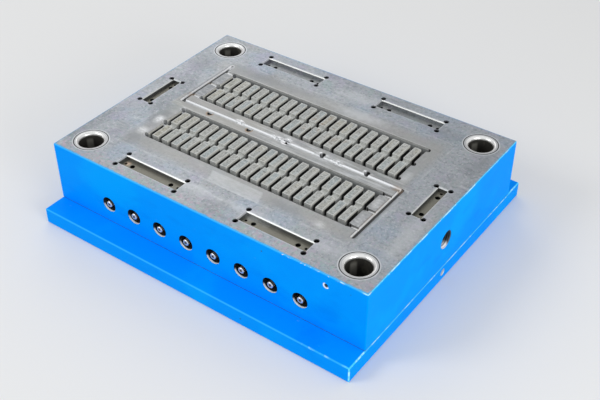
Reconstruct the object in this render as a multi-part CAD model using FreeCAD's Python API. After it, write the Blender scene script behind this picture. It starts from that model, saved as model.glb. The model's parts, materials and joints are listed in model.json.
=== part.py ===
import FreeCAD, Part
import math
import os

V = FreeCAD.Vector
UP = V(0, 0, 1)

# Fixed (cavity) half of a two-cavity injection mould for a slotted drain grate.
# Millimetres. Origin: centre of the clamp plate's bottom face. +Z up to the parting
# face, +X along the long side, -Y is the side with the water ports.

# ---- plates ----
PLATE_L = 750.0
PLATE_W = 550.0
PLATE_H = 135.0
CLAMP_W = 650.0
CLAMP_H = 35.0
EDGE_BREAK = 1.5
FACE_Z = CLAMP_H + PLATE_H

# ---- cavity insert and the pocket it sits in ----
INSERT_L = 570.0
INSERT_W = 380.0
INSERT_H = 60.0
INSERT_R = 16.0
INSERT_GAP = 0.05
INSERT_Z = FACE_Z - INSERT_H

# ---- one moulding cavity: three rails joined by bars, round a row of cores ----
CORE_COUNT = 19
CORE_PITCH = 25.25
CORE_W = 14.75
BAR_W = CORE_PITCH - CORE_W
CAVITY_L = CORE_COUNT * CORE_PITCH + BAR_W
CAVITY_W = 124.0
CAVITY_NEAR_Y = 23.5
CAVITY_DEPTH = 18.0
RAIL_W = 11.25
SADDLE_W = 12.5
SADDLE_DEPTH = 6.5
TAB_REACH = 7.0
TAB_DEPTH = 10.0

# ---- runner, gates and sprue ----
RUNNER_R = 5.0
RUNNER_X = 272.0
RUNNER_END_Y = 165.0
GATE_R = 4.0
SPRUE_SHANK_R = 9.0
SPRUE_FLANGE_R = 35.0
SPRUE_TOP_R = 4.0
SPRUE_NOZZLE_R = 2.5
SPRUE_SEAT_R = 15.5
SPRUE_SEAT_DEPTH = 6.0

# ---- guide bushes ----
BUSH_X = 322.0
BUSH_Y = 222.0
BUSH_R = 35.0
BUSH_BORE_R = 25.0
BUSH_LEAD_R = 6.0
BUSH_COLLAR_R = 38.0
BUSH_COLLAR_H = 10.0
PRESS_GAP = 0.02

# ---- pockets for the side interlock blocks ----
LOCK_DEPTH = 9.0
LOCK_CHAMFER = 2.0
LONG_LOCK = dict(length=150.0, width=26.0, relief=(76.0, 20.0), screw=50.0, dowel=67.5)
SHORT_LOCK = dict(length=100.0, width=20.0, relief=(51.0, 15.5), screw=30.0, dowel=44.0)
LONG_LOCK_X = 150.0
LONG_LOCK_Y = 232.0
SHORT_LOCK_X = 333.0
RELIEF_R = 5.5
RELIEF_DEPTH = 12.0
LOCK_SCREW_R = 5.1
LOCK_SCREW_DEPTH = 28.0
LOCK_DOWEL_R = 3.0
LOCK_DOWEL_DEPTH = 12.0

# ---- water ports, drillings, nipples, seals and plugs ----
PORT_PITCH = 67.0
PORT_COUNT = 8
PORT_Z = CLAMP_H + 43.5
PORT_R = 17.0
PORT_DEPTH = 32.0
PORT_THREAD_R = 6.58
PORT_THREAD_DEPTH = 14.0
DRILL_R = 5.0
RISER_Y = -160.0
INSERT_WATER_R = 6.0
INSERT_WATER_Z = FACE_Z - 38.0
CROSS_Y = 150.0
PLUG_R = 7.5
PLUG_L = 12.0
STOP_PLUG_X = 2.0 * PORT_PITCH
SEAL_SEAT_R = 9.5
SEAL_SEAT_DEPTH = 2.6
SEAL_INNER_R = 5.9
SEAL_ROUND = 0.9
NIPPLE_HEX = 17.0
NIPPLE_HEX_H = 8.0
NIPPLE_TAIL_R = 6.5
NIPPLE_TIP_L = 14.0
NIPPLE_GROOVE_R = 5.3
NIPPLE_GROOVE_W = 4.0
NIPPLE_BORE_R = 3.2

# ---- fasteners: nominal radius, head radius and height, hexagon key, lengths ----
CLAMP_SCREW = dict(r=10.0, head_r=15.0, head_h=20.0, key=17.0, under_head=48.0)
INSERT_SCREW = dict(r=8.0, head_r=12.0, head_h=16.0, key=14.0, under_head=82.5)
RING_SCREW = dict(r=4.0, head_r=6.5, head_h=8.0, key=6.0, under_head=22.5)
CLAMP_SCREW_XY = [(340.0, 120.0), (134.0, 240.0)]
INSERT_SCREW_XY = [(67.0, 172.0), (260.0, 172.0)]
THREAD_GAP = 0.02
DOWEL_X = 310.0
DOWEL_R = 8.0
DOWEL_Z = 5.0
DOWEL_L = 50.0

# ---- locating ring ----
RING_R = 75.0
RING_H = 20.0
RING_SPIGOT_R = 50.0
RING_SPIGOT_DEPTH = 12.0
RING_EYE_R = 20.0
RING_SCREW_PCD = 126.0

# ---- lifting and latch holes ----
EYEBOLT_R = 16.0
EYEBOLT_MOUTH_R = 20.5
EYEBOLT_DEPTH = 55.0
EYEBOLT_Z = FACE_Z - 70.0
CLAMP_LIFT_R = 7.0
CLAMP_LIFT_MOUTH_R = 8.5
CLAMP_LIFT_DEPTH = 30.0
LATCH_X = 290.0
LATCH_Z = FACE_Z - 25.0
LATCH_R = 4.25
LATCH_DEPTH = 25.0
JACK_X = (86.0, 190.0)
JACK_Y = 8.5
JACK_R = 6.0
JACK_DEPTH = 25.0


def cylinder(r, h, base, axis=UP):
    return Part.makeCylinder(r, h, base, axis)


def box(x0, x1, y0, y1, z0, z1):
    return Part.makeBox(x1 - x0, y1 - y0, z1 - z0, V(x0, y0, z0))


def rounded_wire(length, width, r, z):
    """Closed rectangle round the origin with its corners rounded."""
    hx = length / 2
    hy = width / 2
    k = r * (1 - math.sqrt(0.5))
    a = [V(hx - r, -hy, z), V(hx, -hy + r, z), V(hx, hy - r, z), V(hx - r, hy, z),
         V(-hx + r, hy, z), V(-hx, hy - r, z), V(-hx, -hy + r, z), V(-hx + r, -hy, z)]
    mid = [V(hx - k, -hy + k, z), V(hx - k, hy - k, z),
           V(-hx + k, hy - k, z), V(-hx + k, -hy + k, z)]
    edges = []
    for i in range(4):
        edges.append(Part.Arc(a[2 * i], mid[i], a[2 * i + 1]).toShape())
        edges.append(Part.makeLine(a[2 * i + 1], a[(2 * i + 2) % 8]))
    return Part.Wire(edges)


def rounded_block(length, width, r, z0, z1, at=(0.0, 0.0)):
    face = Part.Face(rounded_wire(length, width, r, z0))
    solid = face.extrude(V(0, 0, z1 - z0))
    solid.translate(V(at[0], at[1], 0))
    return solid


def frustum(l0, w0, z0, l1, w1, z1):
    """Flat-sided block that grows from one rectangle to another."""
    rings = []
    for length, width, z in ((l0, w0, z0), (l1, w1, z1)):
        x = length / 2
        y = width / 2
        rings.append([V(-x, -y, z), V(x, -y, z), V(x, y, z), V(-x, y, z)])
    low, high = rings
    loops = [low, high]
    for i in range(4):
        j = (i + 1) % 4
        loops.append([low[i], low[j], high[j], high[i]])
    faces = [Part.Face(Part.makePolygon(loop + loop[:1])) for loop in loops]
    return Part.makeSolid(Part.makeShell(faces))


def hexagon(across_flats, h, base, axis=UP):
    """Hexagonal prism standing on base and pointing along axis."""
    r = across_flats / math.sqrt(3)
    points = [V(r * math.cos(math.radians(60 * i)), r * math.sin(math.radians(60 * i)), 0)
              for i in range(7)]
    prism = Part.Face(Part.makePolygon(points)).extrude(V(0, 0, h))
    prism.Placement = FreeCAD.Placement(base, FreeCAD.Rotation(UP, axis))
    return prism


def turned(profile, base=V(0, 0, 0), axis=UP):
    """Solid of revolution from (radius, height) points, stood at base along axis."""
    points = [V(r, 0, z) for r, z in profile]
    points.append(points[0])
    solid = Part.Face(Part.makePolygon(points)).revolve(V(0, 0, 0), UP, 360)
    solid.Placement = FreeCAD.Placement(base, FreeCAD.Rotation(UP, axis))
    return solid


def four_ways(xy):
    return [(sx * x, sy * y) for x, y in xy for sx in (-1, 1) for sy in (-1, 1)]


def port_xs():
    first = -PORT_PITCH * (PORT_COUNT - 1) / 2
    return [first + PORT_PITCH * i for i in range(PORT_COUNT)]


def half_turn(shape):
    copy = shape.copy()
    copy.rotate(V(0, 0, 0), UP, 180)
    return copy


def socket_screw(spec, x, y, head_z):
    """Hexagon socket head cap screw, head down, shank up; head_z is the head's lower face."""
    head = cylinder(spec["head_r"], spec["head_h"], V(x, y, head_z))
    shank = cylinder(spec["r"], spec["under_head"], V(x, y, head_z + spec["head_h"]))
    socket = hexagon(spec["key"], spec["head_h"] / 2, V(x, y, head_z))
    return head.fuse(shank).removeSplitter().cut(socket)


def lock_pocket(spec, x, y, quarter_turn):
    """Milled pocket for one interlock block, its corner reliefs and the holes in its floor."""
    floor = FACE_Z - LOCK_DEPTH
    length = spec["length"]
    width = spec["width"]
    over = LOCK_CHAMFER + 1
    tool = box(-length / 2, length / 2, -width / 2, width / 2, floor, FACE_Z + 1)
    rim = frustum(length, width, FACE_Z - LOCK_CHAMFER,
                  length + 2 * over, width + 2 * over, FACE_Z + 1)
    parts = [rim]
    for sx in (-1, 1):
        for sy in (-1, 1):
            parts.append(cylinder(RELIEF_R, RELIEF_DEPTH + 1,
                                  V(sx * spec["relief"][0], sy * spec["relief"][1],
                                    FACE_Z - RELIEF_DEPTH)))
        parts.append(cylinder(LOCK_SCREW_R, LOCK_SCREW_DEPTH + 1,
                              V(sx * spec["screw"], 0, floor - LOCK_SCREW_DEPTH)))
        parts.append(cylinder(LOCK_DOWEL_R, LOCK_DOWEL_DEPTH + 1,
                              V(sx * spec["dowel"], 0, floor - LOCK_DOWEL_DEPTH)))
    tool = tool.fuse(parts)
    if quarter_turn:
        tool.rotate(V(0, 0, 0), UP, 90)
    tool.translate(V(x, y, 0))
    return tool


def lock_pockets():
    tools = [lock_pocket(LONG_LOCK, x, y, False)
             for x, y in four_ways([(LONG_LOCK_X, LONG_LOCK_Y)])]
    tools += [lock_pocket(SHORT_LOCK, sx * SHORT_LOCK_X, 0, True) for sx in (-1, 1)]
    return tools


def runner():
    """Half-round runner: left leg, centre leg and right leg, cut with a ball-ended mill."""
    z = FACE_Z
    parts = []
    for s in (-1, 1):
        parts.append(cylinder(RUNNER_R, RUNNER_END_Y, V(s * RUNNER_X, 0, z), V(0, -s, 0)))
        parts.append(Part.makeSphere(RUNNER_R, V(s * RUNNER_X, -s * RUNNER_END_Y, z)))
        parts.append(Part.makeSphere(RUNNER_R, V(s * RUNNER_X, 0, z)))
    centre = cylinder(RUNNER_R, 2 * RUNNER_X, V(-RUNNER_X, 0, z), V(1, 0, 0))
    return centre.fuse(parts)


def rail_centres():
    """The three rails' centre lines, as distances from the insert's centre line."""
    near = CAVITY_NEAR_Y + RAIL_W / 2
    far = CAVITY_NEAR_Y + CAVITY_W - RAIL_W / 2
    return [near, (near + far) / 2, far]


def rear_cavity():
    """Everything milled and eroded out for the rear cavity; its gates are at its left end."""
    half = CAVITY_L / 2
    far_y = CAVITY_NEAR_Y + CAVITY_W
    mid_y = CAVITY_NEAR_Y + CAVITY_W / 2
    floor = FACE_Z - CAVITY_DEPTH
    top = FACE_Z + 1
    hollow = box(-half, half, CAVITY_NEAR_Y, far_y, floor, top)
    cores = []
    for i in range(CORE_COUNT):
        x = (i - (CORE_COUNT - 1) / 2) * CORE_PITCH
        cores.append(box(x - CORE_W / 2, x + CORE_W / 2, CAVITY_NEAR_Y + RAIL_W,
                         far_y - RAIL_W, floor - 1, top + 1))
    hollow = hollow.cut(Part.Compound(cores))
    tools = [box(-half + 1, half - 1, mid_y - SADDLE_W / 2, mid_y + SADDLE_W / 2,
                 FACE_Z - SADDLE_DEPTH, top)]
    widths = [RAIL_W, SADDLE_W, RAIL_W]
    for y, width in zip(rail_centres(), widths):
        tools.append(rounded_block(CAVITY_L + 2 * TAB_REACH, width - 0.5, width / 2 - 1.0,
                                   FACE_Z - TAB_DEPTH, top, (0, y))
                     .common(Part.Compound([box(-half - TAB_REACH, -half + 1, y - width, y + width,
                                                FACE_Z - TAB_DEPTH, top),
                                            box(half - 1, half + TAB_REACH, y - width, y + width,
                                                FACE_Z - TAB_DEPTH, top)])))
        gate = cylinder(GATE_R, RUNNER_X - half, V(-RUNNER_X, y, FACE_Z), V(1, 0, 0))
        tools.append(gate)
    return hollow.fuse(tools)


def insert_water():
    """Long drillings from the front, cross drillings from both ends, risers from below."""
    parts = []
    for x in port_xs():
        mouth = V(x, -INSERT_W / 2, INSERT_WATER_Z)
        parts.append(cylinder(INSERT_WATER_R, INSERT_W / 2 + CROSS_Y + INSERT_WATER_R, mouth,
                              V(0, 1, 0)))
        parts.append(cylinder(PLUG_R + THREAD_GAP, PLUG_L + 2, mouth, V(0, 1, 0)))
        parts.append(cylinder(DRILL_R, INSERT_WATER_Z - INSERT_Z, V(x, RISER_Y, INSERT_Z)))
    for s in (-1, 1):
        mouth = V(s * INSERT_L / 2, CROSS_Y, INSERT_WATER_Z)
        reach = INSERT_L / 2 - PORT_PITCH / 2
        parts.append(cylinder(INSERT_WATER_R, reach, mouth, V(-s, 0, 0)))
        parts.append(cylinder(PLUG_R + THREAD_GAP, PLUG_L + 2, mouth, V(-s, 0, 0)))
    return parts


def cavity_insert():
    body = rounded_block(INSERT_L, INSERT_W, INSERT_R, INSERT_Z, FACE_Z)
    rear = rear_cavity()
    tools = [rear, half_turn(rear), runner()]
    tools.append(cylinder(SPRUE_SHANK_R + PRESS_GAP, INSERT_H + 1, V(0, 0, INSERT_Z)))
    for x in JACK_X:
        for s in (-1, 1):
            tools.append(cylinder(JACK_R, JACK_DEPTH + 1,
                                  V(s * x, s * JACK_Y, FACE_Z - JACK_DEPTH)))
    for x, y in four_ways(INSERT_SCREW_XY):
        tools.append(cylinder(INSERT_SCREW["r"] + THREAD_GAP, 28.0, V(x, y, INSERT_Z)))
    for tool in tools:
        body = body.cut(tool)
    return body.cut(insert_water())


def cavity_plate():
    body = box(-PLATE_L / 2, PLATE_L / 2, -PLATE_W / 2, PLATE_W / 2, CLAMP_H, FACE_Z)
    body = body.makeChamfer(EDGE_BREAK, body.Edges)
    gap = 2 * INSERT_GAP
    tools = [rounded_block(INSERT_L + gap, INSERT_W + gap, INSERT_R + INSERT_GAP,
                           INSERT_Z, FACE_Z + 1)]
    tools += lock_pockets()
    for x, y in four_ways([(BUSH_X, BUSH_Y)]):
        tools.append(cylinder(BUSH_R + PRESS_GAP, PLATE_H + 1, V(x, y, CLAMP_H)))
        tools.append(cylinder(BUSH_COLLAR_R + PRESS_GAP, BUSH_COLLAR_H, V(x, y, CLAMP_H)))
    for x in port_xs():
        y = -PLATE_W / 2
        tools.append(cylinder(PORT_R, PORT_DEPTH, V(x, y, PORT_Z), V(0, 1, 0)))
        y += PORT_DEPTH
        tools.append(cylinder(PORT_THREAD_R, PORT_THREAD_DEPTH, V(x, y, PORT_Z), V(0, 1, 0)))
        tools.append(cylinder(DRILL_R, RISER_Y + DRILL_R - y, V(x, y, PORT_Z), V(0, 1, 0)))
        tools.append(cylinder(DRILL_R, INSERT_Z + 1 - PORT_Z, V(x, RISER_Y, PORT_Z)))
        tools.append(cylinder(SEAL_SEAT_R, SEAL_SEAT_DEPTH + 1,
                              V(x, RISER_Y, INSERT_Z - SEAL_SEAT_DEPTH)))
    for x, y in four_ways(INSERT_SCREW_XY):
        tools.append(cylinder(INSERT_SCREW["r"] + 0.75, PLATE_H, V(x, y, CLAMP_H)))
        tools.append(cylinder(INSERT_SCREW["head_r"] + 1.0, INSERT_SCREW["head_h"] + 1.5,
                              V(x, y, CLAMP_H)))
    for x, y in four_ways(CLAMP_SCREW_XY):
        tools.append(cylinder(CLAMP_SCREW["r"] + THREAD_GAP, 38.0, V(x, y, CLAMP_H)))
    for s in (-1, 1):
        tools.append(cylinder(DOWEL_R + PRESS_GAP, DOWEL_Z + DOWEL_L + 2 - CLAMP_H,
                              V(s * DOWEL_X, 0, CLAMP_H)))
        tools.append(mouthed_hole(EYEBOLT_R, EYEBOLT_MOUTH_R, EYEBOLT_DEPTH,
                                  V(s * PLATE_L / 2, 0, EYEBOLT_Z), V(-s, 0, 0)))
    tools.append(cylinder(SPRUE_SHANK_R + 0.5, PLATE_H, V(0, 0, CLAMP_H)))
    tools.append(cylinder(LATCH_R, LATCH_DEPTH, V(LATCH_X, -PLATE_W / 2, LATCH_Z), V(0, 1, 0)))
    for tool in tools:
        body = body.cut(tool)
    return body


def mouthed_hole(r, mouth_r, depth, at, inward):
    """Blind hole with a 45 degree countersunk mouth, drilled inward from a face."""
    lip = mouth_r - r
    return turned([(0, -1), (mouth_r + 1, -1), (r, lip), (r, depth), (0, depth)], at, inward)


def clamp_plate():
    body = box(-PLATE_L / 2, PLATE_L / 2, -CLAMP_W / 2, CLAMP_W / 2, 0, CLAMP_H)
    body = body.makeChamfer(EDGE_BREAK, body.Edges)
    tools = [cylinder(RING_R + INSERT_GAP, RING_H, V(0, 0, 0)),
             cylinder(SPRUE_FLANGE_R + INSERT_GAP, CLAMP_H, V(0, 0, 0))]
    for x, y in four_ways(CLAMP_SCREW_XY):
        tools.append(cylinder(CLAMP_SCREW["r"] + 1.0, CLAMP_H, V(x, y, 0)))
        tools.append(cylinder(CLAMP_SCREW["head_r"] + 1.0, CLAMP_SCREW["head_h"] + 1.5, V(x, y, 0)))
    for x, y in ring_screw_xy():
        tools.append(cylinder(RING_SCREW["r"] + THREAD_GAP, 13.0, V(x, y, RING_H)))
    for s in (-1, 1):
        tools.append(cylinder(DOWEL_R + PRESS_GAP, CLAMP_H, V(s * DOWEL_X, 0, 0)))
        tools.append(mouthed_hole(CLAMP_LIFT_R, CLAMP_LIFT_MOUTH_R, CLAMP_LIFT_DEPTH,
                                  V(s * PLATE_L / 2, 0, CLAMP_H / 2), V(-s, 0, 0)))
    for tool in tools:
        body = body.cut(tool)
    return body


def guide_bush(x, y):
    """Collared bush, turned from bar, with a generous polished radius at its mouth."""
    h = PLATE_H
    centre = V(BUSH_BORE_R + BUSH_LEAD_R, 0, h - BUSH_LEAD_R)
    k = BUSH_LEAD_R * math.sqrt(0.5)
    lead = Part.Arc(V(BUSH_BORE_R, 0, h - BUSH_LEAD_R), centre + V(-k, 0, k),
                    V(BUSH_BORE_R + BUSH_LEAD_R, 0, h)).toShape()
    corners = [V(BUSH_BORE_R + BUSH_LEAD_R, 0, h), V(BUSH_R - 0.5, 0, h), V(BUSH_R, 0, h - 0.5),
               V(BUSH_R, 0, BUSH_COLLAR_H), V(BUSH_COLLAR_R, 0, BUSH_COLLAR_H),
               V(BUSH_COLLAR_R, 0, 0), V(BUSH_BORE_R, 0, 0), V(BUSH_BORE_R, 0, h - BUSH_LEAD_R)]
    edges = [lead] + [Part.makeLine(a, b) for a, b in zip(corners, corners[1:])]
    bush = Part.Face(Part.Wire(edges)).revolve(V(0, 0, 0), UP, 360)
    bush.translate(V(x, y, CLAMP_H))
    return bush


def sprue_bush():
    """Flanged bush with a tapered sprue hole and a dished seat for the machine nozzle."""
    z0 = RING_H
    flange = cylinder(SPRUE_FLANGE_R, CLAMP_H - z0, V(0, 0, z0))
    shank = cylinder(SPRUE_SHANK_R, FACE_Z - CLAMP_H, V(0, 0, CLAMP_H))
    hole = Part.makeCone(SPRUE_NOZZLE_R, SPRUE_TOP_R, FACE_Z - z0, V(0, 0, z0))
    seat = Part.makeSphere(SPRUE_SEAT_R, V(0, 0, z0 - SPRUE_SEAT_R + SPRUE_SEAT_DEPTH))
    return flange.fuse(shank).removeSplitter().cut([hole, seat]).cut(runner())


def ring_screw_xy():
    r = RING_SCREW_PCD / 2
    return [(r * math.cos(math.radians(45 + 90 * i)), r * math.sin(math.radians(45 + 90 * i)))
            for i in range(4)]


def locating_ring():
    """Ring sunk flush in the clamp plate; the press's spigot enters its recess."""
    body = cylinder(RING_R, RING_H, V(0, 0, 0))
    body = body.makeChamfer(1.0, [body.Edges[0], body.Edges[2]])
    tools = [cylinder(RING_SPIGOT_R, RING_SPIGOT_DEPTH, V(0, 0, 0)),
             cylinder(RING_EYE_R, RING_H, V(0, 0, 0))]
    for x, y in ring_screw_xy():
        tools.append(cylinder(RING_SCREW["r"] + 0.5, RING_H, V(x, y, 0)))
        tools.append(cylinder(RING_SCREW["head_r"] + 0.75, RING_SCREW["head_h"] + 0.5, V(x, y, 0)))
    for tool in tools:
        body = body.cut(tool)
    return body


def nipple(x):
    """Brass coupling nipple screwed into a sunk port; its grooved tail ends at the plate's face."""
    root = -PLATE_W / 2 + PORT_DEPTH
    thread_r = PORT_THREAD_R - THREAD_GAP
    thread_end = PORT_THREAD_DEPTH - 2
    groove = -PORT_DEPTH + NIPPLE_TIP_L + NIPPLE_GROOVE_W
    profile = [(NIPPLE_BORE_R, thread_end), (thread_r, thread_end), (thread_r, 0),
               (NIPPLE_TAIL_R, 0), (NIPPLE_TAIL_R, groove), (NIPPLE_GROOVE_R, groove),
               (NIPPLE_GROOVE_R, groove - NIPPLE_GROOVE_W), (NIPPLE_TAIL_R, groove - NIPPLE_GROOVE_W),
               (NIPPLE_TAIL_R, -PORT_DEPTH + 1), (NIPPLE_TAIL_R - 1, -PORT_DEPTH),
               (NIPPLE_BORE_R, -PORT_DEPTH)]
    body = turned(profile, V(x, root, PORT_Z), V(0, 1, 0))
    nut = hexagon(NIPPLE_HEX, NIPPLE_HEX_H, V(x, root - NIPPLE_HEX_H, PORT_Z), V(0, 1, 0))
    nut = nut.cut(cylinder(NIPPLE_BORE_R, NIPPLE_HEX_H, V(x, root - NIPPLE_HEX_H, PORT_Z),
                           V(0, 1, 0)))
    return body.fuse(nut).removeSplitter()


def riser_seal(x):
    """O-ring squeezed between the pocket's floor and the insert round one water riser."""
    width = SEAL_SEAT_R - 0.1 - SEAL_INNER_R
    ring = cylinder(SEAL_INNER_R + width, SEAL_SEAT_DEPTH, V(0, 0, 0))
    ring = ring.cut(cylinder(SEAL_INNER_R, SEAL_SEAT_DEPTH, V(0, 0, 0)))
    rims = [e for e in ring.Edges if isinstance(e.Curve, Part.Circle)]
    ring = ring.makeFillet(SEAL_ROUND, rims)
    ring.translate(V(x, RISER_Y, INSERT_Z - SEAL_SEAT_DEPTH))
    return ring


def water_plugs():
    """Threaded plugs in the mouths of the insert's long and cross drillings."""
    plugs = []
    places = [(V(x, -INSERT_W / 2, INSERT_WATER_Z), V(0, 1, 0)) for x in port_xs()]
    places += [(V(s * INSERT_L / 2, CROSS_Y, INSERT_WATER_Z), V(-s, 0, 0)) for s in (-1, 1)]
    for mouth, inward in places:
        base = mouth + inward * 1.0
        plug = cylinder(PLUG_R, PLUG_L, base, inward)
        plugs.append(plug.cut(hexagon(6.0, PLUG_L / 2, base, inward)))
    return plugs


def stop_plugs():
    """Expanding plugs that split each cross drilling into two separate circuits."""
    length = 14.0
    return [cylinder(INSERT_WATER_R - THREAD_GAP, length,
                     V(s * STOP_PLUG_X - length / 2, CROSS_Y, INSERT_WATER_Z), V(1, 0, 0))
            for s in (-1, 1)]


def dowels():
    pins = []
    for s in (-1, 1):
        pin = cylinder(DOWEL_R, DOWEL_L, V(s * DOWEL_X, 0, DOWEL_Z))
        pins.append(pin.makeChamfer(1.0, [e for e in pin.Edges
                                          if isinstance(e.Curve, Part.Circle)]))
    return pins


def save(name, shape):
    if isinstance(shape, list):
        shape = Part.makeCompound(shape)
    assert shape.isValid(), name
    shape.exportStep("parts/" + name + ".step")


def main():
    os.makedirs("parts", exist_ok=True)
    save("clamp_plate", clamp_plate())
    save("cavity_plate", cavity_plate())
    save("cavity_insert", cavity_insert())
    names = {(-1, -1): "front_left", (1, -1): "front_right",
             (-1, 1): "rear_left", (1, 1): "rear_right"}
    for (sx, sy), place in names.items():
        save("guide_bush_" + place, guide_bush(sx * BUSH_X, sy * BUSH_Y))
    save("sprue_bush", sprue_bush())
    save("locating_ring", locating_ring())
    save("locating_ring_screws", [socket_screw(RING_SCREW, x, y, 0.5)
                                  for x, y in ring_screw_xy()])
    save("clamp_plate_screws", [socket_screw(CLAMP_SCREW, x, y, 1.5)
                                for x, y in four_ways(CLAMP_SCREW_XY)])
    save("insert_screws", [socket_screw(INSERT_SCREW, x, y, CLAMP_H + 1.5)
                           for x, y in four_ways(INSERT_SCREW_XY)])
    save("plate_dowels", dowels())
    for i, x in enumerate(port_xs(), 1):
        save("water_nipple_%d" % i, nipple(x))
        save("riser_seal_%d" % i, riser_seal(x))
    save("water_plugs", water_plugs())
    save("stop_plugs", stop_plugs())


main()
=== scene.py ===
import functools
import json
import math

import bpy
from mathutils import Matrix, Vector


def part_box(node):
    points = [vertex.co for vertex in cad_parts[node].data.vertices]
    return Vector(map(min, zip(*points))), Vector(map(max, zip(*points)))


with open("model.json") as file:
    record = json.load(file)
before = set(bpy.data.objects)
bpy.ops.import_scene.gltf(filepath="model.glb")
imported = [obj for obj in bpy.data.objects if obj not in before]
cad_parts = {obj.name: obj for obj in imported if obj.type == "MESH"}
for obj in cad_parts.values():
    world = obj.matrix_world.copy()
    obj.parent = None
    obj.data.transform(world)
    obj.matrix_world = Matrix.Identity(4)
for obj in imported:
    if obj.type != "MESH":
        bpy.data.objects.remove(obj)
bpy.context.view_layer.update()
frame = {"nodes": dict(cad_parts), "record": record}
nodes = frame["nodes"]


# ---- Clamp plate ----
# The wide bottom plate that the press clamps hold, sawn and milled from mild steel. It is
# sprayed all over with blue gloss enamel, by hand, in one or two coats, and only the face
# that the cavity plate covers stays bare, under an oil film.

class Shade:
    """A socket of a finish. Sums on it add Math nodes, and node() adds any other node."""

    def __init__(self, tree, socket=None):
        self.tree = tree
        self.socket = socket

    def node(self, kind, settings, values, out=0):
        made = self.tree.nodes.new(kind)
        for name, value in settings.items():
            setattr(made, name, value)
        for key, value in values.items():
            if isinstance(value, Shade):
                self.tree.links.new(value.socket, made.inputs[key])
            else:
                made.inputs[key].default_value = value
        return Shade(self.tree, made.outputs[out])

    def sum(self, operation, *others):
        terms = dict(enumerate((self,) + others))
        return self.node("ShaderNodeMath", {"operation": operation}, terms)

    def __add__(self, other):
        return self.sum("ADD", other)

    def __radd__(self, other):
        return self.sum("ADD", other)

    def __sub__(self, other):
        return self.sum("SUBTRACT", other)

    def __rsub__(self, other):
        return self.node("ShaderNodeMath", {"operation": "SUBTRACT"}, {0: other, 1: self})

    def __mul__(self, other):
        return self.sum("MULTIPLY", other)

    def __rmul__(self, other):
        return self.sum("MULTIPLY", other)

    def __truediv__(self, other):
        return self.sum("DIVIDE", other)

    def __abs__(self):
        return self.sum("ABSOLUTE")

    def least(self, other):
        return self.sum("MINIMUM", other)

    def most(self, other):
        return self.sum("MAXIMUM", other)

    def sign(self):
        return self.sum("SIGN")

    def wave(self, length):
        """A sine wave of the given length along this coordinate, from -1 to 1."""
        return (self * (2 * math.pi / length)).sum("SINE")

    def from_nearest(self, first, pitch):
        """The way to the nearest of a row of places that starts at first, a pitch apart."""
        return (((self - first) / pitch + 0.5).sum("FRACT") - 0.5) * pitch

    def rise(self, low, high):
        """0 below low, 1 above high, and a soft step between them; low may be the larger."""
        return self.node("ShaderNodeMapRange", {"interpolation_type": "SMOOTHSTEP"},
                         {"Value": self, "From Min": low, "From Max": high})

    def past(self, edge, soft):
        """0 before edge, and 1 once it is passed by soft; a negative soft looks backwards."""
        return self.rise(edge, edge + soft)

    def tint(self, colour, share):
        """This colour with a share of another one laid over it."""
        return self.node("ShaderNodeMix", {"data_type": "RGBA"},
                         {0: share, 6: self, 7: colour}, 2)


def distance(across, along):
    return (across * across + along * along).sum("SQRT")


def together(masks):
    """One mask out of several, at each point the strongest of them."""
    return functools.reduce(Shade.most, masks)


class Finish:
    """A new material with the place on the object, in metres, as x, y and z."""

    def __init__(self, name, colour, roughness, metallic):
        self.material = bpy.data.materials.new(name)
        self.material.use_nodes = True
        self.tree = self.material.node_tree
        self.shader = self.tree.nodes["Principled BSDF"]
        self.put("Base Color", colour)
        self.put("Roughness", roughness)
        self.put("Metallic", metallic)
        start = Shade(self.tree)
        self.place = start.node("ShaderNodeTexCoord", {}, {}, "Object")
        self.x, self.y, self.z = (start.node("ShaderNodeSeparateXYZ", {}, {0: self.place}, i)
                                  for i in range(3))

    def put(self, socket, value):
        if isinstance(value, Shade):
            self.tree.links.new(value.socket, self.shader.inputs[socket])
        else:
            self.shader.inputs[socket].default_value = value

    def noise(self, per_metre, detail=4.0, rough=0.55, seed=0.0):
        """Cloudy noise from 0 to 1; per_metre is one scale, or one along each axis."""
        if not isinstance(per_metre, tuple):
            per_metre = (per_metre, per_metre, per_metre)
        place = self.place.node("ShaderNodeMapping", {},
                                {"Vector": self.place, "Scale": per_metre,
                                 "Location": (seed, seed * 0.7, seed * 1.3)})
        return place.node("ShaderNodeTexNoise", {},
                          {"Vector": place, "Scale": 1.0, "Detail": detail,
                           "Roughness": rough})

    def specks(self, per_metre, size, seed=0.0):
        """Scattered round specks, 1 in their middles."""
        place = self.place.node("ShaderNodeMapping", {},
                                {"Vector": self.place, "Scale": (per_metre,) * 3,
                                 "Location": (seed, seed, seed)})
        near = place.node("ShaderNodeTexVoronoi", {}, {"Vector": place, "Scale": 1.0}, "Distance")
        return near.rise(size, size * 0.4)

    def colour(self, value):
        """A plain colour as a socket, so that others can be laid over it."""
        return self.place.node("ShaderNodeMix", {"data_type": "RGBA"},
                               {0: 0.0, 6: value, 7: value}, 2)

    def relief(self, height, millimetres):
        bump = height.node("ShaderNodeBump", {},
                           {"Strength": 1.0, "Distance": millimetres / 1000, "Height": height})
        self.put("Normal", bump)


def give(node, material):
    for slot in nodes[node].material_slots:
        slot.material = material
    if not nodes[node].material_slots:
        nodes[node].data.materials.append(material)


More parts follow.
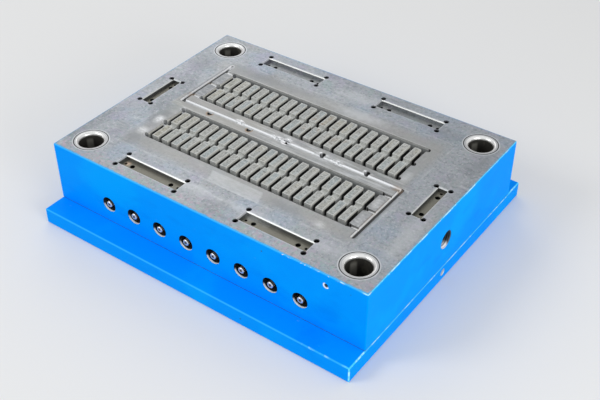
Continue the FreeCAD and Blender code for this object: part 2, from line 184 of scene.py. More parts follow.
BLUE_BASE = (0.000, 0.300, 0.97, 1.0)
BLUE_THIN = (0.000, 0.365, 0.98, 1.0)
BLUE_DEEP = (0.000, 0.225, 0.88, 1.0)
# a painted highlight on the edges, and paler painted glints where they are worn
BLUE_EDGE_HIGHLIGHT = (0.08, 0.66, 1.0, 1.0)
BLUE_WORN_GLINT = (0.55, 0.90, 1.0, 1.0)
SCUFF_BLUE = (0.35, 0.62, 0.92, 1.0)
PRIMER_DARK = (0.035, 0.05, 0.075, 1.0)
OILED_STEEL = (0.20, 0.19, 0.175, 1.0)
OIL_BROWN = (0.07, 0.055, 0.04, 1.0)
CLAMP_THREAD_HIGHLIGHT = (0.80, 0.88, 0.95, 1.0)
ENAMEL_SHINE = 0.012
EDGE_LINE = 0.0018
LOCATING_STEP = 0.006
LIFT_THREAD_RADIUS = 0.007

clamp_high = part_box("clamp_plate")[1]
cover_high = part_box("cavity_plate")[1]
places = {mount["name"]: Vector(mount["pos_m"]) for mount in frame["record"]["mounts"]}


def enamel(finish, edge):
    """Blue enamel: runs and thin places, dust in the gloss, a painted highlight on the edges and
    a few chips.
    """
    cloud = finish.noise(6.0, 3.0)
    drift = finish.noise((9.0, 9.0, 22.0), 5.0, 0.6, 3.0)
    dust = finish.noise(160.0, 3.0, 0.7, 8.0)
    colour = finish.colour(BLUE_BASE)
    colour = colour.tint(BLUE_THIN, cloud.rise(0.48, 0.70) * 0.75)
    colour = colour.tint(BLUE_DEEP, drift.rise(0.52, 0.75) * 0.55)

    # the edges carry a painted highlight, stronger on the lamp-lit right side, with paler painted
    # glints where they are worn on the right side and near the right end of the front
    right = clamp_high.x
    right_side = finish.x.rise(right - 0.020, right - 0.003)
    near_right = finish.x.rise(right - 0.115, right - 0.085) * finish.x.rise(right - 0.040,
                                                                             right - 0.055)
    worn_glint = finish.noise(26.0, 4.0, 0.7, 9.0).rise(0.48, 0.60) * right_side.most(near_right)
    colour = colour.tint(BLUE_EDGE_HIGHLIGHT, edge * (0.35 + right_side * 0.50))
    colour = colour.tint(BLUE_WORN_GLINT, edge * worn_glint * 0.8)

    scuff = finish.noise((70.0, 70.0, 200.0), 4.0, 0.65, 5.0).rise(0.68, 0.80)
    chip = finish.specks(24.0, 0.055, 4.0) * finish.noise(14.0, 2.0, 0.5, 6.0).rise(0.50, 0.62)
    colour = colour.tint(PRIMER_DARK, chip * 0.85)
    colour = colour.tint(SCUFF_BLUE, scuff * 0.22)
    rough = 0.30 + cloud * 0.12 + dust * 0.10 + chip * 0.25
    height = finish.noise(420.0, 2.0, 0.5, 1.0) * 0.55 + finish.noise(60.0, 2.0) * 1.2
    height = height + scuff * 0.2 - chip * 1.2
    return colour, rough, height


def near_edge(value, end):
    """1 on the narrow bevel at the end of a span, where the enamel is thin and gets a painted
    highlight.
    """
    return value.rise(end - EDGE_LINE * 1.6, end - EDGE_LINE * 0.8)


clamp = Finish("blue_enamel", BLUE_BASE, 0.35, 0.0)
clamp_end = near_edge(abs(clamp.x), clamp_high.x)
clamp_side = near_edge(abs(clamp.y), clamp_high.y)
clamp_top = near_edge(clamp.z, clamp_high.z)
clamp_bevels = (clamp_end * clamp_side).most(clamp_end * clamp_top).most(clamp_side * clamp_top)
clamp_colour, clamp_rough, clamp_height = enamel(clamp, clamp_bevels)

# the covered face and the bores through the plate are bare and oily
covered = (clamp.z.past(LOCATING_STEP, 0.001)
           * abs(clamp.y).past(cover_high.y - 0.0004, -0.0004)
           * abs(clamp.x).past(cover_high.x - 0.0004, -0.0006))
oil_film = clamp.noise(40.0, 4.0, 0.6, 12.0).rise(0.40, 0.65)
clamp_colour = clamp_colour.tint(OILED_STEEL, covered)
clamp_colour = clamp_colour.tint(OIL_BROWN, covered * oil_film * 0.7)

# the thread of each lifting hole gets a painted highlight on its lower side
lift_hole = places["clamp_lift_hole_right"]
lift_z = clamp.z - lift_hole.z
lift_thread_highlight = (distance(clamp.y, lift_z).past(LIFT_THREAD_RADIUS + 0.0008, -0.0006)
               * abs(clamp.x).past(clamp_high.x - 0.015, 0.006)
               * (lift_z - clamp.y).rise(0.003, -0.001))
clamp_colour = clamp_colour.tint(CLAMP_THREAD_HIGHLIGHT, lift_thread_highlight)
clamp.put("Base Color", clamp_colour)
clamp.put("Metallic", covered * (0.7 - lift_thread_highlight * 0.6))
clamp.put("Roughness", clamp_rough)
clamp.put("Specular IOR Level", ENAMEL_SHINE)
clamp.relief(clamp_height, 0.12)
give("clamp_plate", clamp.material)


# ---- Cavity plate ----
# The thick plate that holds the insert, bushes and water ports. Its sides carry the same
# enamel; its parting face is surface ground bare steel with oil stains and light rubbing.

FACE = cover_high.z
STEEL = (0.375, 0.395, 0.415, 1.0)
STEEL_DARK = (0.21, 0.225, 0.245, 1.0)
STEEL_PALE = (0.60, 0.62, 0.635, 1.0)
STEEL_BLUE = (0.31, 0.385, 0.48, 1.0)
STEEL_WARM = (0.37, 0.36, 0.33, 1.0)
STEEL_MAUVE = (0.39, 0.365, 0.46, 1.0)
STEEL_GREEN = (0.31, 0.42, 0.405, 1.0)
# near black for oil specks and dark joints, also painted as shade in holes, slots, tabs and
# grooves
OIL_AND_SHADE_BLACK = (0.012, 0.012, 0.013, 1.0)

# broad tints: colour, clouds per metre, seed, where it starts and is full, share
STEEL_TINTS = [
    (STEEL_BLUE, 13.0, 11.0, 0.48, 0.66, 0.50),
    (STEEL_MAUVE, 19.0, 15.0, 0.52, 0.68, 0.50),
    (STEEL_GREEN, 16.0, 17.0, 0.58, 0.72, 0.45),
    (STEEL_WARM, 12.0, 19.0, 0.56, 0.70, 0.40),
]


def ground_steel(finish):
    """Ground steel that has been stoned, wiped and oiled: clouds, tints and fine lines."""
    broad = finish.noise(9.0, 4.0, 0.6, 2.0)
    patch = finish.noise(27.0, 5.0, 0.6, 7.0)
    wiped = finish.noise((14.0, 60.0, 20.0), 5.0, 0.65, 4.0).rise(0.58, 0.78)
    lines = finish.noise((40.0, 1500.0, 40.0), 3.0, 0.6, 5.0)
    fine = finish.noise(700.0, 3.0, 0.7, 9.0)
    mottle = finish.noise(120.0, 4.0, 0.75, 12.0)
    spots = finish.noise(170.0, 3.0, 0.7, 14.0)
    oil_specks = finish.specks(60.0, 0.10, 6.0) * finish.noise(11.0, 2.0, 0.5, 13.0).rise(0.55,
                                                                                        0.65)
    colour = finish.colour(STEEL)
    colour = colour.tint(STEEL_DARK, broad.rise(0.50, 0.72) * 0.60)
    colour = colour.tint(STEEL_PALE, patch.rise(0.53, 0.74) * 0.35)
    for tint, per_metre, seed, start, full, share in STEEL_TINTS:
        cloud = finish.noise(per_metre, 3.0, 0.5, seed)
        colour = colour.tint(tint, cloud.rise(start, full) * share)
    colour = colour.tint(STEEL_MAUVE, mottle.rise(0.52, 0.62) * 0.55)
    colour = colour.tint(STEEL_GREEN, spots.rise(0.54, 0.64) * 0.50)
    colour = colour.tint(STEEL_PALE, spots.rise(0.46, 0.36) * 0.42)
    colour = colour.tint(STEEL_DARK, mottle.rise(0.49, 0.38) * 0.55)
    colour = colour.tint(STEEL_PALE, wiped * 0.35)
    colour = colour.tint(STEEL_DARK, lines.rise(0.55, 0.80) * 0.28)
    colour = colour.tint(OIL_AND_SHADE_BLACK, oil_specks * 0.6)
    rough = 0.34 + broad * 0.16 + patch * 0.10 - wiped * 0.10
    height = lines * 0.5 + fine * 0.35 + patch * 0.8
    return colour, rough, height


def marks(finish, rows):
    """Soft oval marks with ragged outlines on the parting face, as one mask.

    A row is the middle x and y, both half sizes, raggedness, seed and strength.
    """
    masks = []
    for x, y, half_x, half_y, ragged, seed, strength in rows:
        far = distance((finish.x - x) / half_x, (finish.y - y) / half_y)
        wander = finish.noise(60.0, 5.0, 0.65, seed) - 0.5
        masks.append((far + wander * (3.0 * ragged)).rise(1.30, 0.15) * strength)
    return together(masks)


plate = Finish("plate_enamel_and_ground_steel", BLUE_BASE, 0.4, 0.0)
below = FACE - plate.z
painted = (abs(plate.x).past(cover_high.x - 0.0013, 0.0003)
           .most(abs(plate.y).past(cover_high.y - 0.0013, 0.0003)))
painted = painted * below.past(0.0001, 0.0003)
paint_colour, paint_rough, paint_height = enamel(plate, below.rise(0.0028, 0.0016))
steel_colour, steel_rough, steel_height = ground_steel(plate)

# the spray ran a few millimetres over the top edges, mostly along the front
OVERSPRAY_BLUE = (0.02, 0.42, 0.86, 1.0)
past_edge = (abs(plate.x) - cover_high.x).most(abs(plate.y) - cover_high.y)
ragged_edge = plate.noise(90.0, 4.0, 0.65, 2.5) * 0.006
along_front = plate.y.past(0.015 - cover_high.y, -0.010)
overspray = ((past_edge + ragged_edge).rise(-0.0020, 0.0010) * (1.0 - painted)
             * (0.30 + along_front * 0.65) * below.rise(0.0015, 0.0005))

# chips along the top edge, most of them near the right end of the front
knock = plate.noise((150.0, 150.0, 260.0), 4.0, 0.7, 21.0).rise(0.60, 0.66)
knock_place = below.rise(0.0055, 0.001) * (plate.x.rise(0.05, 0.25) * 0.6 + 0.25)
rubbed = (knock * knock_place * painted).rise(0.25, 0.55)

# pink and green specks of rust and coolant along the front, and broad pale and dark marks
SPECK_PINK = (0.50, 0.36, 0.44, 1.0)
SPECK_GREEN = (0.33, 0.50, 0.42, 1.0)
PALE_MARKS = [
    (0.03, 0.222, 0.06, 0.020, 0.5, 81.0, 1.0),
    (-0.05, -0.222, 0.09, 0.016, 0.5, 82.0, 1.0),
    (0.25, -0.215, 0.05, 0.020, 0.5, 83.0, 1.0),
    (0.35, -0.11, 0.02, 0.09, 0.5, 84.0, 1.0),
]
DARK_MARKS = [
    (0.25, 0.215, 0.06, 0.022, 0.5, 85.0, 1.0),
    (0.355, 0.165, 0.02, 0.06, 0.5, 86.0, 1.0),
    (-0.33, 0.14, 0.035, 0.05, 0.5, 87.0, 1.0),
    (-0.30, -0.16, 0.02, 0.04, 0.5, 88.0, 0.8),
    (0.05, -0.256, 0.07, 0.008, 0.5, 89.0, 0.8),
]
front_strip = plate.y.rise(-0.225, -0.262)
pink_specks = plate.noise(120.0, 3.0, 0.6, 71.0).rise(0.52, 0.64)
green_specks = plate.noise(115.0, 3.0, 0.6, 73.0).rise(0.54, 0.66)
steel_colour = steel_colour.tint(SPECK_PINK, front_strip * pink_specks * 0.55)
steel_colour = steel_colour.tint(SPECK_GREEN, front_strip * green_specks * 0.50)
steel_colour = steel_colour.tint(STEEL_PALE, marks(plate, PALE_MARKS) * 0.40)
steel_colour = steel_colour.tint(STEEL_DARK, marks(plate, DARK_MARKS) * 0.38)

# pockets for the interlock blocks: walls with painted shade, oily floors, painted highlights on
# the bevels and holes painted black as shade
POCKET_X = places["interlock_screws_front_right"].x
POCKET_Y = places["interlock_screws_rear_right"].y
POCKET_HALF_LONG = 0.075
POCKET_HALF_WIDE = 0.013
END_POCKET_X = places["interlock_screws_right"].x
END_POCKET_HALF_LONG = 0.050
END_POCKET_HALF_WIDE = 0.010
POCKET_DEPTH = 0.009
BEVEL_DEPTH = 0.002
POCKET_WALL_SHADE = (0.125, 0.125, 0.115, 1.0)
FLOOR_OIL = (0.235, 0.225, 0.185, 1.0)
FLOOR_RUST = (0.55, 0.42, 0.32, 1.0)
BEVEL_HIGHLIGHT = (0.74, 0.75, 0.73, 1.0)
RUST_PATCH = [(-0.2145, -0.229, 0.008, 0.008, 0.3, 67.0, 1.0)]
BRIGHT_RUB = [(0.075, -0.218, 0.07, 0.012, 0.5, 31.0, 1.0)]
out_of_long = ((abs(abs(plate.x) - POCKET_X) - POCKET_HALF_LONG)
               .most(abs(abs(plate.y) - POCKET_Y) - POCKET_HALF_WIDE))
out_of_end = ((abs(abs(plate.x) - END_POCKET_X) - END_POCKET_HALF_WIDE)
              .most(abs(plate.y) - END_POCKET_HALF_LONG))
out_of_pocket = out_of_long.least(out_of_end)
pocket_wall = below.past(0.0018, 0.0012) * out_of_pocket.rise(0.0004, 0.0001)
pocket_floor = (below.rise(POCKET_DEPTH - 0.0012, POCKET_DEPTH - 0.0004)
                * out_of_pocket.past(0.0, -0.0004))
front_oil_and_shade = 1.0 - plate.y.rise(0.100, 0.200) * 0.70
pocket_cloud = 0.75 + plate.noise(85.0, 4.0, 0.65, 66.0) * 0.2
# painted shade on the pocket walls, weaker towards the rear, where the floors are also less oily
steel_colour = steel_colour.tint(POCKET_WALL_SHADE, pocket_wall * front_oil_and_shade * 0.80)
steel_colour = steel_colour.tint(FLOOR_OIL, pocket_floor * front_oil_and_shade * pocket_cloud)
steel_colour = steel_colour.tint(FLOOR_RUST, pocket_floor * marks(plate, RUST_PATCH) * 0.8)
bevel = (below.past(0.0001, 0.0003) * below.rise(BEVEL_DEPTH + 0.0004, BEVEL_DEPTH - 0.0002)
         * out_of_pocket.past(BEVEL_DEPTH + 0.0010, -0.0010))
far_bevel = ((abs(plate.y) - POCKET_Y) * plate.y.sign()).rise(POCKET_HALF_WIDE - 0.0010,
                                                              POCKET_HALF_WIDE - 0.0002)
end_bevel = abs(abs(plate.x) - END_POCKET_X).rise(END_POCKET_HALF_WIDE - 0.0010,
                                                  END_POCKET_HALF_WIDE - 0.0002)
lit_bevel = (far_bevel * abs(plate.y).rise(0.150, 0.180)).most(
    end_bevel * abs(plate.y).rise(0.100, 0.080))
# a painted highlight on the pocket bevels, strongest on the far ones
steel_colour = steel_colour.tint(BEVEL_HIGHLIGHT, bevel * (0.25 + lit_bevel * 0.65))
near_lip = (out_of_pocket.past(0.0045, -0.0015) * below.rise(0.0003, 0.0001)
            * plate.noise(60.0, 3.0, 0.6, 68.0).rise(0.30, 0.60))
steel_colour = steel_colour.tint(STEEL_PALE, near_lip * 0.55)
# holes round and in the pockets painted black as shade
inside_plate = (abs(plate.y).past(cover_high.y - 0.0115, -0.002)
                * abs(plate.x).past(cover_high.x - 0.011, -0.002) * below.rise(0.060, 0.050))
reliefs = below.rise(0.0018, 0.0035) * out_of_pocket.past(0.0002, 0.0003)
floor_holes = below.rise(POCKET_DEPTH + 0.0006, POCKET_DEPTH + 0.0020)
steel_colour = steel_colour.tint(OIL_AND_SHADE_BLACK, inside_plate * reliefs.most(floor_holes) * 0.96)
# surfaces one to two centimetres and more under the face are painted dark as shade
steel_colour = steel_colour.tint(OIL_AND_SHADE_BLACK, below.rise(0.010, 0.020) * 0.8)
steel_colour = steel_colour.tint(STEEL_PALE, marks(plate, BRIGHT_RUB) * 0.4)
steel_colour = steel_colour.tint(STEEL_PALE, rubbed)

# seats of the guide bushes: a dark joint and a pale ring that the other half has rubbed
BUSH_X = places["guide_bore_rear_right"].x
BUSH_Y = places["guide_bore_rear_right"].y
BUSH_OUTSIDE = 0.035
from_bush = distance(abs(plate.x) - BUSH_X, abs(plate.y) - BUSH_Y)
rubbed_ring = from_bush.past(BUSH_OUTSIDE + 0.0036, -0.0010) * below.rise(0.0006, 0.0002)
steel_colour = steel_colour.tint(STEEL_PALE, rubbed_ring * 0.75)
steel_colour = steel_colour.tint(OIL_AND_SHADE_BLACK, from_bush.past(BUSH_OUTSIDE + 0.0009, -0.0004) * 0.9)

# tapped holes for the lifting eyebolts: a painted highlight low down near the mouth, painted
# shade black further in
EYE_Z = places["eyebolt_hole_right"].z
EYE_MOUTH = 0.0205
THREAD_PITCH = 0.004
EYE_THREAD_HIGHLIGHT = (0.95, 0.96, 0.98, 1.0)
eye_z = plate.z - EYE_Z
in_eye = (distance(plate.y, eye_z).past(EYE_MOUTH + 0.0008, -0.0005)
          * abs(plate.x).rise(0.30, 0.31))
thread = plate.x.wave(THREAD_PITCH) * in_eye
eye_thread_highlight = (in_eye * eye_z.rise(-0.002, -0.011) * plate.y.rise(0.012, 0.004)
                 * abs(plate.x).rise(cover_high.x - 0.040, cover_high.x - 0.025))
# the hole painted near black as shade, and a painted highlight on the lower side of the thread
steel_colour = steel_colour.tint(OIL_AND_SHADE_BLACK, in_eye * 0.75)
steel_colour = steel_colour.tint(EYE_THREAD_HIGHLIGHT, eye_thread_highlight)
steel_colour = steel_colour.tint(STEEL_DARK, thread.rise(0.2, 0.8) * 0.5)

# sunk water ports: a painted highlight on the lower lips of their mouths
PORT_RADIUS = 0.017
PORT_LIP_HIGHLIGHT = (0.95, 0.98, 1.0, 1.0)
first_port = places["water_nipple_tail_1"]
port_pitch = places["water_nipple_tail_2"].x - first_port.x
port_z = plate.z - first_port.z
from_port = distance(plate.x.from_nearest(first_port.x, port_pitch), port_z)
port_lip_highlight = (abs(from_port - PORT_RADIUS).rise(0.0012, 0.0006)
           * plate.y.past(0.006 - cover_high.y, -0.0022) * port_z.rise(-0.002, -0.008))
steel_colour = steel_colour.tint(PORT_LIP_HIGHLIGHT, port_lip_highlight)

# the paint has chipped off round the small latch hole in the front
CHIP_LIGHT = (0.90, 0.95, 1.0, 1.0)
CHIP_RADIUS = 0.006
latch_x = plate.x - places["latch_hole"].x
latch_z = plate.z - places["latch_hole"].z
latch_chip = (distance(latch_x, latch_z).past(CHIP_RADIUS + 0.0008, -0.0008)
              * plate.y.past(0.007 - cover_high.y, -0.004)
              * (latch_x + latch_z).rise(0.0035, 0.0015))

bare = 1.0 - painted * (1.0 - rubbed)
plate_colour = steel_colour.tint(paint_colour, 1.0 - bare)
plate_colour = plate_colour.tint(OVERSPRAY_BLUE, overspray * 0.85)
plate_colour = plate_colour.tint(CHIP_LIGHT, latch_chip * 0.9)
# the painted highlights are made less metallic, so that their pale colour shows
plate_highlights = port_lip_highlight + eye_thread_highlight + bevel * lit_bevel * 0.3
plate.put("Base Color", plate_colour)
plate.put("Metallic", bare * (0.85 - overspray * 0.7 - plate_highlights * 0.75))
plate.put("Roughness", paint_rough + (steel_rough - paint_rough) * bare)
plate.put("Specular IOR Level", ENAMEL_SHINE)
plate.relief(paint_height + (steel_height - paint_height) * bare + thread * 4.0, 0.10)
give("cavity_plate", plate.material)


# ---- Cavity insert ----
# The hardened block with both cavities, milled, then spark eroded between the cores, and
# stoned by hand round the gates. Its walls and slots carry painted light and shade.

insert_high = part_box("cavity_insert")[1]
CORE_COUNT = 19
CORE_PITCH = 0.02525
CORE_WIDTH = 0.01475
RAIL_WIDTH = 0.01125
SADDLE_HALF = 0.00625
CAVITY_NEAR = 0.0235
CAVITY_FAR = 0.1475
CAVITY_MIDDLE = (CAVITY_NEAR + CAVITY_FAR) / 2
CORE_ROW_END = CORE_COUNT * CORE_PITCH / 2
CAVITY_END = CORE_ROW_END + (CORE_PITCH - CORE_WIDTH) / 2
CORE_NEAR = CAVITY_NEAR + RAIL_WIDTH
CORE_FAR = CAVITY_FAR - RAIL_WIDTH
ROW_HALF = (CAVITY_MIDDLE - SADDLE_HALF - CORE_NEAR) / 2
ROW_PERIOD = 2 * (ROW_HALF + SADDLE_HALF)
RUNNER_X = 0.272
RUNNER_HALF = 0.005
RUNNER_END = 0.165
GATE_NEAR = CAVITY_NEAR + RAIL_WIDTH / 2
GATE_PITCH = CAVITY_MIDDLE - GATE_NEAR

insert = Finish("stoned_and_eroded_steel", STEEL, 0.4, 0.85)
x, y, z = insert.x, insert.y, insert.z
from_centre = abs(y)
deep = FACE - z
on_face = deep.rise(0.0006, 0.0002)
gated = (x * y).rise(0.0, -0.0002)
right_half = x.rise(-0.01, 0.01)
insert_colour, insert_rough, insert_height = ground_steel(insert)

# darker blots on the ground face on the left, and scratches on the strips between the gates
LEFT_DARK_BLOTS = [
    (-0.266, -0.075, 0.016, 0.045, 0.6, 51.0, 1.0),
    (-0.262, -0.160, 0.018, 0.030, 0.6, 52.0, 1.0),
    (-0.257, 0.085, 0.010, 0.075, 0.6, 53.0, 1.0),
]
OILY = [
    (-0.15, 0.168, 0.12, 0.018, 0.5, 55.0, 1.0),
    (-0.05, -0.015, 0.035, 0.007, 0.5, 56.0, 1.0),
    (0.03, 0.014, 0.04, 0.006, 0.5, 57.0, 1.0),
    (0.12, -0.168, 0.05, 0.016, 0.5, 58.0, 1.0),
]
WIPED = [
    (0.07, 0.168, 0.075, 0.018, 0.5, 59.0, 1.0),
    (0.19, -0.015, 0.06, 0.008, 0.5, 60.0, 1.0),
]
middle_area = abs(x).past(insert_high.x, -0.023) * from_centre.past(insert_high.y, -0.025)
between_gates = (abs(x).past(CAVITY_END + 0.0009, 0.0010)
                 * abs(x).past(RUNNER_X - RUNNER_HALF, -0.0015)
                 * from_centre.past(CAVITY_NEAR - 0.0005, 0.003)
                 * from_centre.past(CAVITY_FAR + 0.0025, -0.003) * gated)
scratched = insert.noise((90.0, 240.0, 90.0), 5.0, 0.75, 54.0)
leg_borders = (abs(abs(x) - RUNNER_X).rise(RUNNER_HALF + 0.0035, RUNNER_HALF + 0.0010)
               * from_centre.past(RUNNER_END + 0.007, -0.004) * gated)
insert_colour = insert_colour.tint(STEEL_WARM, 0.10 + middle_area * 0.50)
insert_colour = insert_colour.tint(STEEL_DARK, marks(insert, LEFT_DARK_BLOTS) * 0.45)
insert_colour = insert_colour.tint(STEEL_DARK, between_gates * scratched.rise(0.52, 0.42) * 0.55)
insert_colour = insert_colour.tint(STEEL_PALE, between_gates * scratched.rise(0.52, 0.62) * 0.55)
insert_colour = insert_colour.tint(STEEL_DARK, 0.08 + marks(insert, OILY) * 0.35
                                   + leg_borders * 0.40 + x.rise(-0.10, -0.25) * 0.14)
insert_colour = insert_colour.tint(STEEL_PALE, marks(insert, WIPED) * 0.50)

# tops of the cores: spark eroded, so speckled and dull, with a painted highlight along their rims
ERODED = (0.42, 0.425, 0.40, 1.0)
ERODED_PALE = (0.64, 0.65, 0.63, 1.0)
ERODED_DARK = (0.17, 0.17, 0.165, 1.0)
ERODED_COOL = (0.36, 0.42, 0.435, 1.0)
STRAW = (0.42, 0.385, 0.27, 1.0)
RUST = (0.30, 0.175, 0.075, 1.0)
RIM_HIGHLIGHT_WIDTH = 0.0024
RUST_CLOUD = [(0.035, 0.085, 0.075, 0.05, 0.6, 33.0, 1.0)]
in_cores = (abs(x).past(CORE_ROW_END + 0.001, -0.001)
            * from_centre.rise(CORE_NEAR - 0.0004, CORE_NEAR)
            * from_centre.rise(CORE_FAR + 0.0004, CORE_FAR))
from_core_middle = abs(x.from_nearest(0.0, CORE_PITCH))
from_saddle = abs(from_centre - CAVITY_MIDDLE)
rim_highlight = (from_core_middle.rise(CORE_WIDTH / 2 - RIM_HIGHLIGHT_WIDTH, CORE_WIDTH / 2 - 0.0008)
             .most(from_saddle.rise(SADDLE_HALF + RIM_HIGHLIGHT_WIDTH, SADDLE_HALF + 0.0008))
             .most(from_centre.rise(CORE_FAR - RIM_HIGHLIGHT_WIDTH, CORE_FAR - 0.0008))
             .most(from_centre.rise(CORE_NEAR + RIM_HIGHLIGHT_WIDTH, CORE_NEAR + 0.0008))) * in_cores
eroded_cloud = insert.noise(55.0, 4.0, 0.65, 23.0)
eroded_grain = insert.noise((170.0, 330.0, 200.0), 4.0, 0.8, 25.0)
eroded_pits = insert.noise((330.0, 210.0, 300.0), 3.0, 0.7, 26.0)
cool_cores = insert.noise((34.0, 12.0, 10.0), 2.0, 0.5, 24.0).rise(0.46, 0.62)
straw_cores = insert.noise((30.0, 14.0, 10.0), 3.0, 0.5, 27.0).rise(0.52, 0.66)
rusty = marks(insert, RUST_CLOUD) * insert.noise(70.0, 4.0, 0.7, 29.0).rise(0.48, 0.64)
eroded = insert.colour(ERODED)
eroded = eroded.tint(ERODED_COOL, cool_cores * 0.7)
eroded = eroded.tint(STRAW, straw_cores * 0.40)
eroded = eroded.tint(STRAW, x.rise(-0.165, -0.235) * 0.45)
eroded = eroded.tint(ERODED_DARK, eroded_cloud.rise(0.50, 0.70) * 0.30)
eroded = eroded.tint(ERODED_DARK, eroded_pits.rise(0.50, 0.60) * 0.70)
eroded = eroded.tint(ERODED_PALE, eroded_grain.rise(0.50, 0.62) * 0.65)
eroded = eroded.tint(RUST, rusty * 0.40)
# a painted highlight along the rims of the cores
eroded = eroded.tint(ERODED_PALE, rim_highlight * (0.55 + eroded_cloud * 0.4))
insert_colour = insert_colour.tint(eroded, in_cores)

# the walls are painted pale as light for a few millimetres below the face; lower down the
# rails and slot floors get painted shade, and the slots are painted black as shade
LIT_UPPER_WALL = (0.80, 0.79, 0.72, 1.0)
WALL_REACH = CAVITY_END + 0.0015
wall = deep.past(0.0002, 0.0008)
across_row = y.from_nearest(0.0, ROW_PERIOD)
in_slots = (abs(x).past(WALL_REACH, -0.0011)
            * from_centre.rise(CORE_NEAR - 0.001, CORE_NEAR)
            * from_centre.rise(CORE_FAR + 0.001, CORE_FAR)
            * across_row.past(0.004 - ROW_HALF, 0.008)
            * across_row.past(ROW_HALF, -0.0015))
slot_shade = deep.rise(0.0040, 0.0068) * in_slots
lit_upper_wall = (wall * deep.rise(0.0064, 0.0038) * from_centre.past(CORE_NEAR, 0.0004)
              * from_centre.past(CORE_FAR, -0.0004)
              * abs(across_row).rise(ROW_HALF - 0.0001, ROW_HALF - 0.0006)
              * abs(x).past(WALL_REACH, -0.0011))
in_rails = (from_centre.rise(CORE_NEAR + 0.0005, CORE_NEAR - 0.0010)
            .most(from_centre.rise(CORE_FAR - 0.0005, CORE_FAR + 0.0010)))
wall_shade = insert.noise((38.0, 20.0, 60.0), 3.0, 0.6, 39.0)
wall_cloud = insert.noise(150.0, 3.0, 0.6, 38.0).rise(0.4, 0.7)
wall_colour = insert.colour(ERODED_PALE).tint(ERODED, wall_cloud * 0.8)
insert_colour = insert_colour.tint(wall_colour, wall * 0.85)
# painted light on the upper part of the walls
insert_colour = insert_colour.tint(LIT_UPPER_WALL, lit_upper_wall * (0.55 + wall_shade * 0.5))
# painted shade down the rail walls
insert_colour = insert_colour.tint(STEEL_DARK, in_rails * deep.rise(0.0020, 0.0065)
                                   * (0.30 + wall_shade * 0.5))
# painted shade deeper down, and black painted shade in the slots
insert_colour = insert_colour.tint(ERODED_DARK, deep.rise(0.0080, 0.0170) * 0.45)
insert_colour = insert_colour.tint(OIL_AND_SHADE_BLACK, slot_shade * (0.90 + wall_shade * 0.1))

# a painted highlight along the rear edge of each cavity, and pale lines along the joint with the
# plate
RIM_AWAY = 0.0018
cavity_rim_highlights = (abs(y + CAVITY_NEAR - RIM_AWAY).rise(0.0016, 0.0008)
               .most(abs(y - CAVITY_FAR - RIM_AWAY).rise(0.0016, 0.0008))
               * abs(x).past(CAVITY_END, -0.01))
seam = (abs(x).rise(insert_high.x - 0.006, insert_high.x - 0.001)
        .most(from_centre.rise(insert_high.y - 0.006, insert_high.y - 0.001)))
seam_cloud = insert.noise(30.0, 3.0, 0.6, 35.0).rise(0.35, 0.6)
insert_colour = insert_colour.tint(ERODED_PALE, cavity_rim_highlights * on_face * 0.35)
insert_colour = insert_colour.tint(STEEL_PALE, seam * on_face * seam_cloud * 0.3)

# streaks on the strip between the cavities, places stoned bright by hand and painted highlights
# on the gates and the end of the runner, and a stoned patch in front, crossed by fine lines
# white of polished steel, also used for painted highlights
POLISH_AND_HIGHLIGHT = (0.93, 0.94, 0.96, 1.0)
STONED_AND_GLINT_PLACES = [
    (-0.258, 0.141, 0.010, 0.006, 0.4, 40.0, 0.7),
    (-0.252, 0.086, 0.009, 0.005, 0.4, 41.0, 0.9),
    (-0.254, 0.030, 0.010, 0.006, 0.4, 42.0, 0.8),
    (-0.247, -0.027, 0.007, 0.007, 0.4, 43.0, 0.8),
    (-0.261, -0.086, 0.013, 0.015, 0.4, 44.0, 0.9),
    (-0.260, -0.135, 0.014, 0.014, 0.4, 45.0, 0.7),
    (0.258, 0.038, 0.011, 0.022, 0.4, 46.0, 0.45),
    (0.256, -0.062, 0.009, 0.024, 0.4, 47.0, 0.45),
    (0.256, -0.115, 0.009, 0.024, 0.4, 48.0, 0.25),
    (0.204, -0.172, 0.013, 0.011, 0.4, 49.0, 0.5),
    (-0.120, 0.006, 0.012, 0.006, 0.4, 50.0, 0.8),
    (-0.022, 0.006, 0.014, 0.005, 0.4, 51.0, 0.6),
    (0.001, 0.008, 0.009, 0.008, 0.4, 52.0, 0.95),
    (0.124, 0.004, 0.012, 0.007, 0.4, 53.0, 0.6),
    (-0.272, 0.166, 0.006, 0.007, 0.4, 54.0, 1.0),
]
PATCH_X = 0.010
PATCH_Y = -0.174
PATCH_SLANT = 0.35
rough_streaks = insert.noise((120.0, 260.0, 100.0), 4.0, 0.75, 36.0)
between = from_centre.past(CAVITY_NEAR, -0.002) * on_face
smear = insert.noise((14.0, 170.0, 20.0), 5.0, 0.7, 47.0)
polish_and_glint = (marks(insert, STONED_AND_GLINT_PLACES) * (1.0 - slot_shade)
                 * (0.55 + rough_streaks.rise(0.42, 0.58) * 0.45))
stoned = (abs(x - PATCH_X + (y - PATCH_Y) * PATCH_SLANT).rise(0.064, 0.058)
          * abs(y - PATCH_Y).rise(0.018, 0.015))
stoned_lines = insert.noise((60.0, 420.0, 60.0), 4.0, 0.6, 37.0)
insert_colour = insert_colour.tint(STEEL_DARK, between * smear.rise(0.50, 0.64) * 0.55)
insert_colour = insert_colour.tint(STEEL_PALE, between * smear.rise(0.48, 0.36) * 0.50)
insert_colour = insert_colour.tint(STEEL_WARM, between * x.rise(-0.02, -0.10) * 0.45)
insert_colour = insert_colour.tint(POLISH_AND_HIGHLIGHT, polish_and_glint * 0.65)
insert_colour = insert_colour.tint(STEEL_PALE, stoned * on_face * stoned_lines * 0.8)

